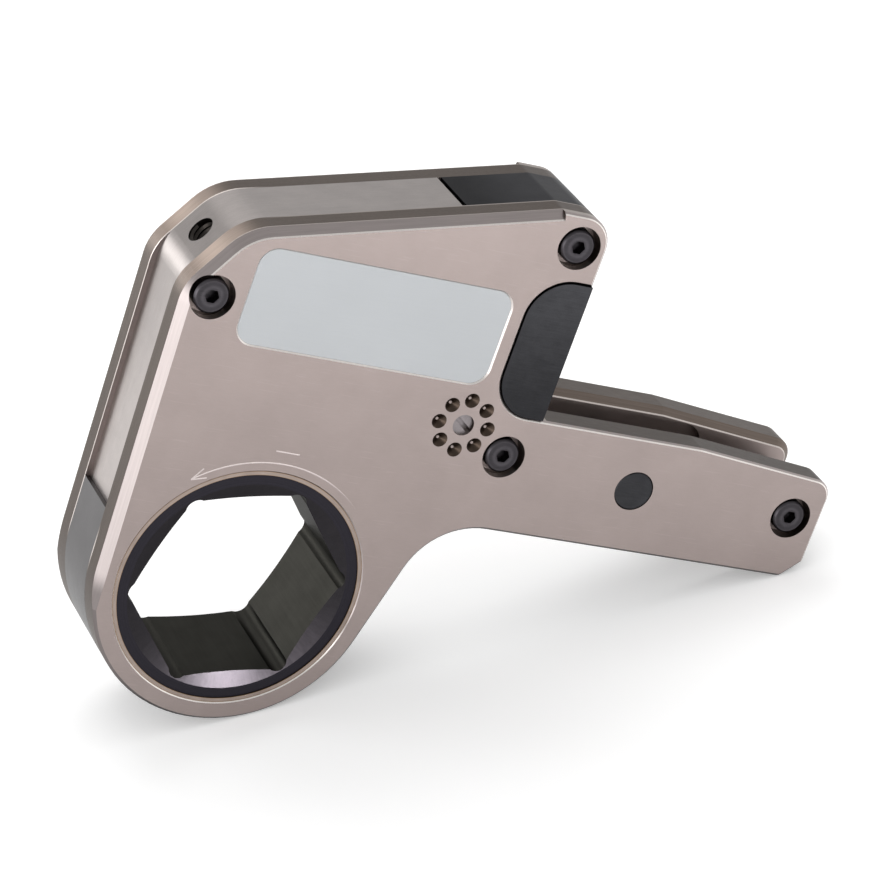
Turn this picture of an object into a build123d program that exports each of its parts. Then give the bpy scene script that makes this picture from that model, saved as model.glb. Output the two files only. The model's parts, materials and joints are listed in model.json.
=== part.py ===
from build123d import *
from math import asin, atan2, cos, degrees, hypot, radians, sin, tan
import os

# Hexagon ratchet cassette of a hydraulic torque wrench, in millimetres.
# World: +X to the right, +Z up, -Y towards the front plate. The hexagon axis is world Y.
# Profiles are drawn in the plate frame (u, v): u runs out along the tail, v square to it.

# Overall
hexagon_across_flats = 46.0
overall_thickness = 31.0
housing_gap = 16.5
running_gap = 0.05
seat_gap = 0.02

# Plate outline, plate frame
ring_wall = 4.6
left_lean_angle = 1.7
left_corner_v = 70.8
left_corner_radius = 12.0
top_left_corner = (-26.5, 86.7)
top_left_radius = 15.0
top_bend = (47.0, 105.7)
top_bend_radius = 4.0
top_right_corner = (60.7, 105.8)
top_right_radius = 7.5
notch_left_u = 46.5
notch_top_wall = 16.8
notch_corner_radius = 10.0
tail_top_v = 54.2
tail_break_u = 105.0
tail_end_u = 144.4
tail_end_drop = 3.25
tail_end_radius = 5.0
tail_bottom_v = 24.4
heel_chamfer = 4.8
heel_radius = 2.0
root_angle = 15.9
root_radius = 18.0

# Plate details
edge_chamfer = 0.7
face_chamfer = 2.1
face_chamfer_start_v = -14.0
tail_pad = 2.0
tail_pad_start_u = 63.0
tail_bevel = 1.9
latch_relief_radius = 5.5
latch_relief_u = 105.0
latch_relief_drop = 8.2
latch_relief_length = 14.0
name_plate_left = -22.0
name_plate_right = 42.4
name_plate_bottom = 60.2
name_plate_top = 83.9
name_plate_radius = 4.5
name_plate_thickness = 0.5
name_plate_sink = 0.35
name_plate_bevel = 0.35
bore_bevel = 0.25
bevel_angle = 45.0
dimple_count = 8
dimple_circle_radius = 6.4
dimple_radius = 1.85
dimple_depth = 1.5

# Screws, pins and stud
screw_shank = 2.5
screw_clearance = 0.25
screw_head_radius = 4.25
screw_head_height = 4.0
counterbore_radius = 5.4
counterbore_depth = 4.4
screw_head_chamfer = 0.5
screw_key = 3.0
screw_key_depth = 2.4
screw_reach = 6.0
top_left_screw = (-30.2, 69.8)
top_right_screw_inset = 7.2
top_right_screw_drop = 8.0
root_screw_u = 54.1
root_screw_drop = 10.6
tail_screw_inset = 8.4
tail_screw_drop = 13.9
latch_pin_u = 91.1
latch_pin_drop = 13.7
latch_pin_radius = 5.05
latch_pin_chamfer = 0.3
stud_place = (41.0, 49.8)
stud_end_radius = 2.65
stud_end_recess = 0.9
stud_body_radius = 3.2
stud_slot_width = 1.2
stud_slot_depth = 1.2
stud_slot_angle = -35.0

# Ratchet wheel and bushings
tooth_count = 72
tooth_height = 1.4
tooth_root_step = 0.3
tooth_draft_angle = 15.0
tooth_half_width = 4.4
shoulder_step = 0.1
shoulder_half_width = 8.1
journal_wall = 2.75
journal_half_width = 14.9
hexagon_angle = 12.5
corner_relief_radius = 2.6
corner_relief_undercut = 0.04
lead_in_rim = 2.55
lead_in_depth = 1.3
bushing_wall = 1.0
bushing_recess = 0.3

# Drive lever
lever_rest_angle = 70.5
lever_length = 73.0
lever_ring_wall = 2.75
lever_plate_inner = 4.5
lever_arm_half = 12.5
lever_arm_shoulder = 44.0
lever_eye_radius = 8.0
drive_pin_radius = 4.5
carrier_half_width = 12.0
carrier_tooth_gap = 0.6
carrier_top_wall = 2.0
carrier_dowel_radius = 1.6
carrier_dowel_spread = 9.5
carrier_dowel_rise = 6.4
carrier_dowel_drop = 4.0

# Pawls
pawl_half_thickness = 4.3
pawl_side_gap = 0.05
drive_pawl_half = 7.0
drive_pawl_height = 11.8
drive_pawl_room = 2.6
pawl_tooth_gap = 0.06
pawl_flank_shift = 0.06
drive_spring_spread = 3.4
drive_spring_length = 11.6
holding_rest_angle = 36.0
holding_pawl_half = 5.5
holding_pawl_height = 10.4
holding_pawl_room = 2.2
holding_spring_length = 11.0
spring_seat_depth = 3.0
spring_radius = 2.0
spring_wire = 0.55
spring_bore_gap = 0.3
spring_turns = 5
spring_wire_sides = 4

# Parts between the plates
shroud_inset = 1.25
shroud_foot_v = 12.0
shroud_side_wall = 7.6
shroud_top_wall = 5.2
shroud_end_u = 25.0
shroud_shelf_v = 19.5
shroud_throat_u = -15.5
shroud_throat_walls = ((-20.6, 79.5), (-22.6, 72.0), (-24.2, 63.0), (-28.2, 58.0))
handle_hole_radius = 3.3
handle_hole_depth = 8.0
handle_hole_angle = 146.3
handle_hole_place = (48.8, 70.2)
guard_thickness = 1.5
lever_sweep_gap = 0.5
block_start_u = 26.0
block_bar_step = 1.0
block_bar_brace = 4.0
rod_bore_radius = 10.0
boss_gap = 0.03
guide_right_u = 59.2
guide_lever_gap = 0.6
guide_crown_foot_u = 32.5
guide_crown_foot_drop = 4.2
guide_crown_u = 35.5
guide_crown_drop = 0.3
guide_foot_across = 11.0
guide_foot_out = (30.0, 46.0)
guide_lever_out = (24.0, 52.0)
pocket_half_thickness = 4.35
tail_bush_radius = 6.5

# Derived sizes
plate_thickness = (overall_thickness - housing_gap) / 2
front_face = overall_thickness / 2
inner_face = housing_gap / 2
apothem = hexagon_across_flats / 2
hexagon_reach = apothem / cos(radians(30)) + corner_relief_undercut
corner_relief_centre = hexagon_reach - corner_relief_radius
journal_radius = hexagon_reach + journal_wall
lead_in_radius = journal_radius - lead_in_rim
bushing_outer_radius = journal_radius + running_gap + bushing_wall
ring_radius = bushing_outer_radius + ring_wall
shoulder_radius = bushing_outer_radius + shoulder_step
tooth_root_radius = shoulder_radius + tooth_root_step
tooth_tip_radius = tooth_root_radius + tooth_height
lever_ring_radius = shoulder_radius + running_gap + lever_ring_wall
tooth_pitch = 360.0 / tooth_count
tail_gap = housing_gap - 2 * tail_pad
tail_half_gap = tail_gap / 2
tail_end = (tail_end_u, tail_top_v - tail_end_drop)
latch_relief_centre = (latch_relief_u, tail_top_v - latch_relief_drop)
root_screw = (root_screw_u, tail_top_v - root_screw_drop)
top_right_screw = (top_right_corner[0] - top_right_screw_inset, top_right_corner[1] - top_right_screw_drop)
tail_screw = (tail_end_u - tail_screw_inset, tail_top_v - tail_screw_drop)
screw_places = (top_left_screw, top_right_screw, root_screw, tail_screw)
latch_pin_place = (latch_pin_u, tail_top_v - latch_pin_drop)
notch_top_v = top_right_corner[1] - notch_top_wall
block_bar_v = notch_top_v - block_bar_step
rod_bore_v = (tail_top_v + notch_top_v) / 2
guide_crown_foot = (guide_crown_foot_u, tail_top_v - guide_crown_foot_drop)
guide_crown = (guide_crown_u, tail_top_v - guide_crown_drop)
left_tangent = (-ring_radius * cos(radians(left_lean_angle)), -ring_radius * sin(radians(left_lean_angle)))
left_corner_u = left_tangent[0] - (left_corner_v - left_tangent[1]) * tan(radians(left_lean_angle))
left_corner = (left_corner_u, left_corner_v)
root_tangent = (ring_radius * cos(radians(root_angle)), -ring_radius * sin(radians(root_angle)))
root_corner_u = root_tangent[0] + (tail_bottom_v - root_tangent[1]) * tan(radians(root_angle))
root_corner = (root_corner_u, tail_bottom_v)
heel_low = (tail_end[0] - heel_chamfer, tail_bottom_v)
heel_high = (tail_end[0], tail_bottom_v + heel_chamfer)
heel_setback = heel_radius * tan(radians(22.5))
heel_centre = (heel_low[0] - heel_setback, tail_bottom_v + heel_radius)
heel_distance = hypot(heel_centre[0], heel_centre[1])

drive_pawl_top = tooth_tip_radius + drive_pawl_height
carrier_pocket_top = drive_pawl_top + drive_pawl_room
drive_spring_foot = drive_pawl_top - spring_seat_depth
drive_spring_head = drive_spring_foot + drive_spring_length
carrier_inner_radius = tooth_tip_radius + carrier_tooth_gap
carrier_top = drive_spring_head + carrier_top_wall
carrier_dowel_heights = (tooth_tip_radius + carrier_dowel_rise, carrier_top - carrier_dowel_drop)
holding_pawl_top = tooth_tip_radius + holding_pawl_height
holding_pocket_top = holding_pawl_top + holding_pawl_room
holding_spring_foot = holding_pawl_top - spring_seat_depth
holding_spring_head = holding_spring_foot + holding_spring_length

top_slope = (top_bend[1] - top_left_corner[1]) / (top_bend[0] - top_left_corner[0])
diagonal_slope = (top_left_corner[1] - left_corner[1]) / (top_left_corner[0] - left_corner[0])
shroud_foot_u = left_tangent[0] - (shroud_foot_v - left_tangent[1]) * tan(radians(left_lean_angle)) + shroud_inset
shroud_corner_u = left_corner[0] + shroud_inset
shroud_corner_v = left_corner[1] + shroud_inset * diagonal_slope

# The cassette stands on its ring and on its heel, so the tail slopes down by this angle.
stance = atan2(heel_centre[1], heel_centre[0]) + asin((ring_radius - heel_radius) / heel_distance)

os.makedirs("parts", exist_ok=True)


def turned_plane(depth):
    """Plate frame at a world depth, its first axis along the tail."""
    return Plane(origin=(0, depth, 0), x_dir=(cos(stance), 0, -sin(stance)), z_dir=(0, -1, 0))


def radial_plane(depth, turn):
    """Profile plane at a world depth, its second axis along a radial line at a turn."""
    angle = radians(turn) - stance
    return Plane(origin=(0, depth, 0), x_dir=(sin(angle), 0, -cos(angle)), z_dir=(0, -1, 0))


def polar(radius, angle):
    """Plate frame point at a radius and an angle in degrees from the tail direction."""
    return (radius * cos(radians(angle)), radius * sin(radians(angle)))


def nearest(sketch, point):
    """Vertex of a sketch that lies nearest to a point of its own plane."""
    return sketch.vertices().sort_by_distance((point[0], point[1], 0))[0]


def closed_face(*points, mode=Mode.ADD):
    """Add or cut the face inside a closed outline of straight lines in the sketch."""
    with BuildLine() as outline:
        Polyline(*points, close=True)
    make_face(outline.edges(), mode=mode)


def rounded_path(frame, points, radii):
    """Add a line through points of a frame to the path, its inner corners rounded."""
    corners = [frame.from_local_coords(Vector(*point)) for point in points]
    place = corners[0]
    for corner, after, radius in zip(corners[1:-1], corners[2:], radii):
        arrive = (corner - place).normalized()
        leave = (after - corner).normalized()
        setback = radius * tan(radians(arrive.get_angle(leave)) / 2)
        entry = corner - arrive * setback
        parting = corner + leave * setback
        Line(place, entry)
        TangentArc(entry, parting, tangent=arrive)
        place = parting
    Line(place, corners[-1])


def head_profile(sketch, *right_side):
    """Add the outline of the head to the sketch, closed by points down its right side."""
    with BuildLine() as outline:
        ThreePointArc(root_tangent, (0, -ring_radius), left_tangent)
        Polyline(
            left_tangent,
            left_corner,
            top_left_corner,
            top_bend,
            top_right_corner,
            *right_side,
            root_corner,
            root_tangent,
        )
    make_face(outline.edges())
    fillet(nearest(sketch, left_corner), left_corner_radius)
    fillet(nearest(sketch, top_left_corner), top_left_radius)
    fillet(nearest(sketch, top_bend), top_bend_radius)
    fillet(nearest(sketch, top_right_corner), top_right_radius)
    fillet(nearest(sketch, root_corner), root_radius)


def plate_profile(sketch):
    """Add the side plate outline, with its notch and its tail, to the sketch."""
    head_profile(
        sketch,
        (top_right_corner[0], notch_top_v),
        (notch_left_u, notch_top_v),
        (notch_left_u, tail_top_v),
        (tail_break_u, tail_top_v),
        tail_end,
        heel_high,
        heel_low,
    )
    fillet(nearest(sketch, (notch_left_u, notch_top_v)), notch_corner_radius)
    fillet(nearest(sketch, (notch_left_u, tail_top_v)), notch_corner_radius)
    fillet(nearest(sketch, tail_end), tail_end_radius)
    fillet(nearest(sketch, heel_low), heel_radius)


def filled_head(sketch):
    """Add the head outline with a straight right side and a square tail to the sketch."""
    head_profile(
        sketch,
        (top_right_corner[0], tail_top_v),
        (tail_break_u, tail_top_v),
        (tail_break_u, tail_bottom_v),
    )


def is_trimmed(edge):
    """Tell whether a face edge carries the small chamfer: all but the notch and the tail top."""
    place = turned_plane(0).to_local_coords(edge @ 0.5)
    beside_boss = notch_left_u - seat_gap < place.X < tail_break_u
    return not (beside_boss and tail_top_v - seat_gap < place.Y < notch_top_v + seat_gap)


def is_tail_top(edge):
    """Tell whether an edge of the tail pad lies along the top of the tail."""
    place = turned_plane(0).to_local_coords(edge @ 0.5)
    return place.X > tail_pad_start_u + tail_pad and place.Y > tail_end[1]


def add_plate(side):
    """Build a side plate blank: side is -1 at the front and 1 at the back."""
    with BuildSketch(turned_plane(side * inner_face)) as outline:
        plate_profile(outline)
    extrude(outline.sketch, amount=-side * plate_thickness)
    with BuildSketch(turned_plane(side * tail_half_gap)) as pad:
        closed_face(
            (tail_pad_start_u, tail_top_v),
            (tail_break_u, tail_top_v),
            tail_end,
            heel_high,
            heel_low,
            (tail_pad_start_u, tail_bottom_v),
        )
        fillet(nearest(pad, tail_end), tail_end_radius)
        fillet(nearest(pad, heel_low), heel_radius)
    extrude(pad.sketch, amount=-side * tail_pad)


def trim_plate(plate, side):
    """Cut the bevel of the tail and the chamfers of the outer face."""
    pad_face = plate.faces().filter_by(Axis.Y).sort_by(Axis.Y)[0 if side > 0 else -1]
    chamfer(pad_face.outer_wire().edges().filter_by(is_tail_top), tail_bevel)
    outer_face = plate.faces().filter_by(Axis.Y).sort_by(Axis.Y)[-1 if side > 0 else 0]
    chamfer(outer_face.outer_wire().edges().filter_by(is_trimmed), edge_chamfer)
    low_u = left_tangent[0] - (face_chamfer_start_v - left_tangent[1]) * tan(radians(left_lean_angle))
    with BuildLine() as path:
        rounded_path(
            turned_plane(side * front_face),
            ((low_u, face_chamfer_start_v), left_corner, top_left_corner, top_bend),
            (left_corner_radius, top_left_radius),
        )
    start = path.wires()[0] @ 0
    run = path.wires()[0] % 0
    spare = face_chamfer / 2
    with BuildSketch(Plane(origin=start, x_dir=run.cross(Vector(0, 1, 0)), z_dir=run)) as section:
        closed_face(
            (-face_chamfer - spare, -side * spare),
            (spare, side * (face_chamfer + spare)),
            (spare, -side * spare),
        )
    sweep(section.sketch, path=path.wires()[0], mode=Mode.SUBTRACT)


def cut_plate_holes(side):
    """Cut the bore, the screw, pin and stud holes and the tail relief of a side plate."""
    with BuildSketch(turned_plane(side * front_face)) as section:
        Circle(bushing_outer_radius + seat_gap)
        with Locations(*screw_places):
            Circle(screw_shank + screw_clearance)
        with Locations(latch_pin_place):
            Circle(latch_pin_radius + seat_gap)
        with Locations(stud_place):
            Circle(stud_end_radius + seat_gap)
    extrude(section.sketch, amount=side * (plate_thickness + tail_pad), mode=Mode.SUBTRACT)
    with BuildSketch(turned_plane(side * front_face)) as section:
        Circle(bushing_outer_radius + seat_gap + bore_bevel)
    extrude(section.sketch, amount=side * bore_bevel, taper=bevel_angle, mode=Mode.SUBTRACT)
    with BuildSketch(turned_plane(side * front_face)) as section:
        with Locations(*screw_places):
            Circle(counterbore_radius)
    extrude(section.sketch, amount=side * counterbore_depth, mode=Mode.SUBTRACT)
    with BuildSketch(turned_plane(side * tail_half_gap)) as section:
        with Locations(latch_relief_centre):
            SlotCenterToCenter(latch_relief_length, 2 * latch_relief_radius)
    extrude(section.sketch, amount=-side * tail_pad, mode=Mode.SUBTRACT)


def tooth_outline(radial_gap=0.0, flank_shift=0.0):
    """Ratchet outline: a steep flank facing clockwise and a long back behind each tooth."""
    root = tooth_root_radius + radial_gap
    tip = tooth_tip_radius + radial_gap
    lean = degrees((tooth_tip_radius - tooth_root_radius) * tan(radians(tooth_draft_angle)) / tooth_tip_radius)
    points = []
    for tooth in range(tooth_count):
        flank = tooth * tooth_pitch - flank_shift
        points.append(polar(root, flank))
        points.append(polar(tip, flank + lean))
    return points


def top_line_v(u):
    """Height of the sloping top line at a distance along the tail."""
    return top_left_corner[1] + (u - top_left_corner[0]) * top_slope


def add_screw(place, side):
    """Add the head and the shank of one cap screw."""
    seat = side * (front_face - counterbore_depth)
    with BuildSketch(turned_plane(seat)) as section:
        with Locations(place):
            Circle(screw_shank)
    extrude(section.sketch, amount=side * (front_face - counterbore_depth - inner_face + screw_reach))
    with BuildSketch(turned_plane(seat)) as section:
        with Locations(place):
            Circle(screw_head_radius)
    extrude(section.sketch, amount=-side * screw_head_height)


def finish_screws(screws, side):
    """Chamfer the heads of the four screws of one side and cut their hexagon sockets."""
    rims = screws.edges().filter_by(GeomType.CIRCLE).group_by(Axis.Y)[-1 if side > 0 else 0]
    chamfer(rims, screw_head_chamfer)
    with BuildSketch(turned_plane(side * (front_face - counterbore_depth + screw_head_height))) as section:
        with Locations(*screw_places):
            RegularPolygon(screw_key / 2, 6, major_radius=False)
    extrude(section.sketch, amount=side * screw_key_depth, mode=Mode.SUBTRACT)


def lever_point(turn, across, out):
    """Plate frame point from its place across and out along a radial line."""
    turned = radians(turn)
    return (out * cos(turned) + across * sin(turned), out * sin(turned) - across * cos(turned))


def along_plane(turn, across, out):
    """Plane square to a radial line at a turn, across it by one amount and out by another."""
    frame = radial_plane(0, turn)
    return Plane(origin=frame.from_local_coords(Vector(across, out, 0)), x_dir=(0, 1, 0), z_dir=frame.y_dir)


def bore_along(turn, across, foot, head, radius):
    """Cut a round bore that runs out along a radial line."""
    with BuildSketch(along_plane(turn, across, foot)) as section:
        Circle(radius)
    extrude(section.sketch, amount=head - foot, mode=Mode.SUBTRACT)


def add_coil(turn, across, foot, head):
    """Add a coil spring that runs out along a radial line."""
    seat = along_plane(turn, across, foot + spring_wire / 2)
    coil_radius = spring_radius - spring_wire / 2
    length = head - foot - spring_wire
    with BuildLine():
        wire = Helix(length / spring_turns, length, coil_radius, center=seat.origin, direction=seat.z_dir)
    with BuildSketch(Plane(origin=wire @ 0, z_dir=wire % 0)) as section:
        RegularPolygon(spring_wire / 2, spring_wire_sides)
    sweep(section.sketch, path=wire, is_frenet=True)


def pawl_blank(turn, half_width, top):
    """Add a pawl cut to the tooth outline, with a running gap to the ratchet."""
    with BuildSketch(radial_plane(-pawl_half_thickness, turn)) as section:
        closed_face((-half_width, 0), (half_width, 0), (half_width, top), (-half_width, top))
    extrude(section.sketch, amount=-2 * pawl_half_thickness)
    with BuildSketch(turned_plane(-pawl_half_thickness)) as section:
        closed_face(*tooth_outline(pawl_tooth_gap, pawl_flank_shift))
    extrude(section.sketch, amount=-2 * pawl_half_thickness, mode=Mode.SUBTRACT)


def add_lever_plate(side):
    """Build one drive plate: a ring on the ratchet shoulder with an arm and an eye."""
    eye_rise = asin((lever_arm_half - lever_eye_radius) / (lever_length - lever_arm_shoulder))
    eye_edge = (lever_eye_radius * cos(eye_rise), lever_length + lever_eye_radius * sin(eye_rise))
    with BuildSketch(radial_plane(side * lever_plate_inner, lever_rest_angle)) as section:
        Circle(lever_ring_radius)
        closed_face(
            (-lever_arm_half, 0),
            (lever_arm_half, 0),
            (lever_arm_half, lever_arm_shoulder),
            eye_edge,
            (-eye_edge[0], eye_edge[1]),
            (-lever_arm_half, lever_arm_shoulder),
        )
        with Locations((0, lever_length)):
            Circle(lever_eye_radius)
            Circle(drive_pin_radius + seat_gap, mode=Mode.SUBTRACT)
        Circle(shoulder_radius + running_gap, mode=Mode.SUBTRACT)
        for height in carrier_dowel_heights:
            with Locations((-carrier_dowel_spread, height), (carrier_dowel_spread, height)):
                Circle(carrier_dowel_radius + seat_gap, mode=Mode.SUBTRACT)
    extrude(section.sketch, amount=-side * (shoulder_half_width - lever_plate_inner))


with BuildPart() as front_side_plate:
    add_plate(-1)
    trim_plate(front_side_plate.part, -1)
    cut_plate_holes(-1)
    with BuildSketch(turned_plane(-front_face)):
        with Locations(((name_plate_left + name_plate_right) / 2, (name_plate_bottom + name_plate_top) / 2)):
            RectangleRounded(name_plate_right - name_plate_left, name_plate_top - name_plate_bottom, name_plate_radius)
    extrude(amount=-(name_plate_thickness + name_plate_sink), mode=Mode.SUBTRACT)
    with BuildSketch(turned_plane(-front_face)):
        with Locations(((name_plate_left + name_plate_right) / 2, (name_plate_bottom + name_plate_top) / 2)):
            RectangleRounded(
                name_plate_right - name_plate_left + 2 * name_plate_bevel,
                name_plate_top - name_plate_bottom + 2 * name_plate_bevel,
                name_plate_radius + name_plate_bevel,
            )
    extrude(amount=-name_plate_bevel, taper=bevel_angle, mode=Mode.SUBTRACT)
    with BuildSketch(turned_plane(-front_face)):
        with Locations(stud_place):
            with PolarLocations(dimple_circle_radius, dimple_count):
                Circle(dimple_radius)
    extrude(amount=-dimple_depth, taper=bevel_angle, mode=Mode.SUBTRACT)

with BuildPart() as back_side_plate:
    add_plate(1)
    trim_plate(back_side_plate.part, 1)
    cut_plate_holes(1)

with BuildPart() as name_plate:
    with BuildSketch(turned_plane(-front_face + name_plate_sink)):
        with Locations(((name_plate_left + name_plate_right) / 2, (name_plate_bottom + name_plate_top) / 2)):
            RectangleRounded(
                name_plate_right - name_plate_left - 2 * seat_gap,
                name_plate_top - name_plate_bottom - 2 * seat_gap,
                name_plate_radius,
            )
    extrude(amount=-name_plate_thickness)

with BuildPart() as front_plate_screws:
    for place in screw_places:
        add_screw(place, -1)
    finish_screws(front_plate_screws.part, -1)

with BuildPart() as back_plate_screws:
    for place in screw_places:
        add_screw(place, 1)
    finish_screws(back_plate_screws.part, 1)

with BuildPart() as front_ratchet_bushing:
    with BuildSketch(turned_plane(-inner_face)):
        Circle(bushing_outer_radius)
        Circle(journal_radius + running_gap, mode=Mode.SUBTRACT)
    extrude(amount=plate_thickness - bushing_recess)

with BuildPart() as back_ratchet_bushing:
    with BuildSketch(turned_plane(inner_face)):
        Circle(bushing_outer_radius)
        Circle(journal_radius + running_gap, mode=Mode.SUBTRACT)
    extrude(amount=-(plate_thickness - bushing_recess))

with BuildPart() as shroud_spacer:
    with BuildSketch(turned_plane(-inner_face)) as shroud:
        closed_face(
            (shroud_foot_u, shroud_foot_v),
            (shroud_corner_u, shroud_corner_v),
            top_left_corner,
            (shroud_end_u, top_line_v(shroud_end_u)),
            (shroud_end_u, top_line_v(shroud_end_u) - shroud_top_wall),
            (shroud_throat_u, top_line_v(shroud_throat_u) - shroud_top_wall),
            *shroud_throat_walls,
            (shroud_foot_u + shroud_side_wall, shroud_shelf_v),
            (-lever_ring_radius, shroud_foot_v),
        )
        fillet(nearest(shroud, (shroud_corner_u, shroud_corner_v)), left_corner_radius - shroud_inset)
        fillet(nearest(shroud, top_left_corner), top_left_radius)
        Circle(lever_ring_radius + lever_sweep_gap, mode=Mode.SUBTRACT)
        with Locations(top_left_screw):
            Circle(screw_shank + seat_gap, mode=Mode.SUBTRACT)
    extrude(amount=-housing_gap)
    with BuildSketch(along_plane(handle_hole_angle, *handle_hole_place)):
        Circle(handle_hole_radius)
    extrude(amount=handle_hole_depth, both=True, mode=Mode.SUBTRACT)

with BuildPart() as ratchet_guard:
    with BuildSketch(turned_plane(-inner_face)) as strip:
        filled_head(strip)
        offset(amount=-guard_thickness, kind=Kind.INTERSECTION, mode=Mode.SUBTRACT)
    extrude(amount=-housing_gap)
    with BuildSketch(turned_plane(-inner_face)):
        closed_face(
            (-2 * ring_radius, -2 * ring_radius),
            (guide_right_u, -2 * ring_radius),
            (guide_right_u, tail_bottom_v + guard_thickness),
            (0, tail_bottom_v + guard_thickness),
            (0, shroud_foot_v - seat_gap),
            (-2 * ring_radius, shroud_foot_v - seat_gap),
        )
    extrude(amount=-housing_gap, mode=Mode.INTERSECT)

with BuildPart() as reaction_block:
    with BuildSketch(turned_plane(-inner_face)) as block:
        filled_head(block)
    extrude(amount=-housing_gap)
    with BuildSketch(turned_plane(-inner_face)):
        closed_face(
            (block_start_u, block_bar_v),
            (notch_left_u + boss_gap - block_bar_brace, block_bar_v),
            (notch_left_u + boss_gap, block_bar_v - block_bar_brace),
            (notch_left_u + boss_gap, tail_top_v),
            (top_right_corner[0], tail_top_v),
            (top_right_corner[0], top_right_corner[1]),
            (block_start_u, top_right_corner[1]),
        )
    extrude(amount=-housing_gap, mode=Mode.INTERSECT)
    with BuildSketch(turned_plane(-front_face)) as boss:
        closed_face(
            (notch_left_u + boss_gap, tail_top_v + boss_gap),
            (top_right_corner[0], tail_top_v + boss_gap),
            (top_right_corner[0], notch_top_v - boss_gap),
            (notch_left_u + boss_gap, notch_top_v - boss_gap),
        )
        fillet(nearest(boss, (notch_left_u, tail_top_v)), notch_corner_radius)
        fillet(nearest(boss, (notch_left_u, notch_top_v)), notch_corner_radius)
    extrude(amount=-overall_thickness)
    with BuildSketch(turned_plane(-inner_face)):
        with Locations(top_right_screw):
            Circle(screw_shank + seat_gap)
    extrude(amount=-housing_gap, mode=Mode.SUBTRACT)
    bore_along(0, -rod_bore_v, notch_left_u, top_right_corner[0], rod_bore_radius)

with BuildPart() as pawl_guide:
    with BuildSketch(turned_plane(-inner_face)) as guide:
        filled_head(guide)
        offset(amount=-guard_thickness - seat_gap, kind=Kind.INTERSECTION, mode=Mode.REPLACE)
    extrude(amount=-housing_gap)
    with BuildSketch(turned_plane(-inner_face)):
        closed_face(
            lever_point(lever_rest_angle, lever_arm_half + guide_lever_gap, guide_lever_out[0]),
            lever_point(lever_rest_angle, lever_arm_half + guide_lever_gap, guide_lever_out[1]),
            guide_crown_foot,
            guide_crown,
            (guide_right_u, guide_crown[1]),
            (guide_right_u, tail_bottom_v),
            lever_point(holding_rest_angle, guide_foot_across, guide_foot_out[1]),
            lever_point(holding_rest_angle, guide_foot_across, guide_foot_out[0]),
        )
        Circle(lever_ring_radius + lever_sweep_gap, mode=Mode.SUBTRACT)
    extrude(amount=-housing_gap, mode=Mode.INTERSECT)
    with BuildSketch(turned_plane(-inner_face)):
        with Locations(root_screw):
            Circle(screw_shank + seat_gap)
        with Locations(stud_place):
            Circle(stud_body_radius + seat_gap)
    extrude(amount=-housing_gap, mode=Mode.SUBTRACT)
    with BuildSketch(radial_plane(-pocket_half_thickness, holding_rest_angle)):
        closed_face(
            (-holding_pawl_half - pawl_side_gap, 0),
            (holding_pawl_half + pawl_side_gap, 0),
            (holding_pawl_half + pawl_side_gap, holding_pocket_top),
            (-holding_pawl_half - pawl_side_gap, holding_pocket_top),
        )
    extrude(amount=-2 * pocket_half_thickness, mode=Mode.SUBTRACT)
    bore_along(holding_rest_angle, 0, holding_pawl_top, holding_spring_head, spring_radius + spring_bore_gap)

with BuildPart() as tail_spacer:
    with BuildSketch(turned_plane(-tail_half_gap)):
        with Locations(tail_screw):
            Circle(tail_bush_radius)
            Circle(screw_shank + seat_gap, mode=Mode.SUBTRACT)
    extrude(amount=-tail_gap)

with BuildPart() as latch_pin:
    with BuildSketch(turned_plane(-front_face)):
        with Locations(latch_pin_place):
            Circle(latch_pin_radius)
    extrude(amount=-overall_thickness)
    chamfer(latch_pin.edges().filter_by(GeomType.CIRCLE), latch_pin_chamfer)

with BuildPart() as slotted_stud:
    with BuildSketch(turned_plane(-front_face + stud_end_recess)):
        with Locations(stud_place):
            Circle(stud_end_radius)
    extrude(amount=-(overall_thickness - 2 * stud_end_recess))
    with BuildSketch(turned_plane(-inner_face)):
        with Locations(stud_place):
            Circle(stud_body_radius)
    extrude(amount=-housing_gap)
    with BuildSketch(turned_plane(-front_face + stud_end_recess)):
        with Locations(stud_place):
            Rectangle(2 * stud_body_radius, stud_slot_width, rotation=stud_slot_angle)
    extrude(amount=-stud_slot_depth, mode=Mode.SUBTRACT)

with BuildPart() as front_drive_plate:
    add_lever_plate(-1)

with BuildPart() as back_drive_plate:
    add_lever_plate(1)

with BuildPart() as drive_pin:
    with BuildSketch(radial_plane(-shoulder_half_width, lever_rest_angle)):
        with Locations((0, lever_length)):
            Circle(drive_pin_radius)
    extrude(amount=-2 * shoulder_half_width)

with BuildPart() as pawl_carrier:
    with BuildSketch(radial_plane(-lever_plate_inner, lever_rest_angle)):
        closed_face(
            (-carrier_half_width, 0),
            (carrier_half_width, 0),
            (carrier_half_width, carrier_top),
            (-carrier_half_width, carrier_top),
        )
        Circle(carrier_inner_radius, mode=Mode.SUBTRACT)
        closed_face(
            (-drive_pawl_half - pawl_side_gap, 0),
            (drive_pawl_half + pawl_side_gap, 0),
            (drive_pawl_half + pawl_side_gap, carrier_pocket_top),
            (-drive_pawl_half - pawl_side_gap, carrier_pocket_top),
            mode=Mode.SUBTRACT,
        )
        for height in carrier_dowel_heights:
            with Locations((-carrier_dowel_spread, height), (carrier_dowel_spread, height)):
                Circle(carrier_dowel_radius + seat_gap, mode=Mode.SUBTRACT)
    extrude(amount=-2 * lever_plate_inner)
    bore_along(lever_rest_angle, -drive_spring_spread, drive_pawl_top, drive_spring_head, spring_radius + spring_bore_gap)
    bore_along(lever_rest_angle, drive_spring_spread, drive_pawl_top, drive_spring_head, spring_radius + spring_bore_gap)

with BuildPart() as carrier_dowels:
    with BuildSketch(radial_plane(-shoulder_half_width, lever_rest_angle)):
        for height in carrier_dowel_heights:
            with Locations((-carrier_dowel_spread, height), (carrier_dowel_spread, height)):
                Circle(carrier_dowel_radius)
    extrude(amount=-2 * shoulder_half_width)

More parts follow.
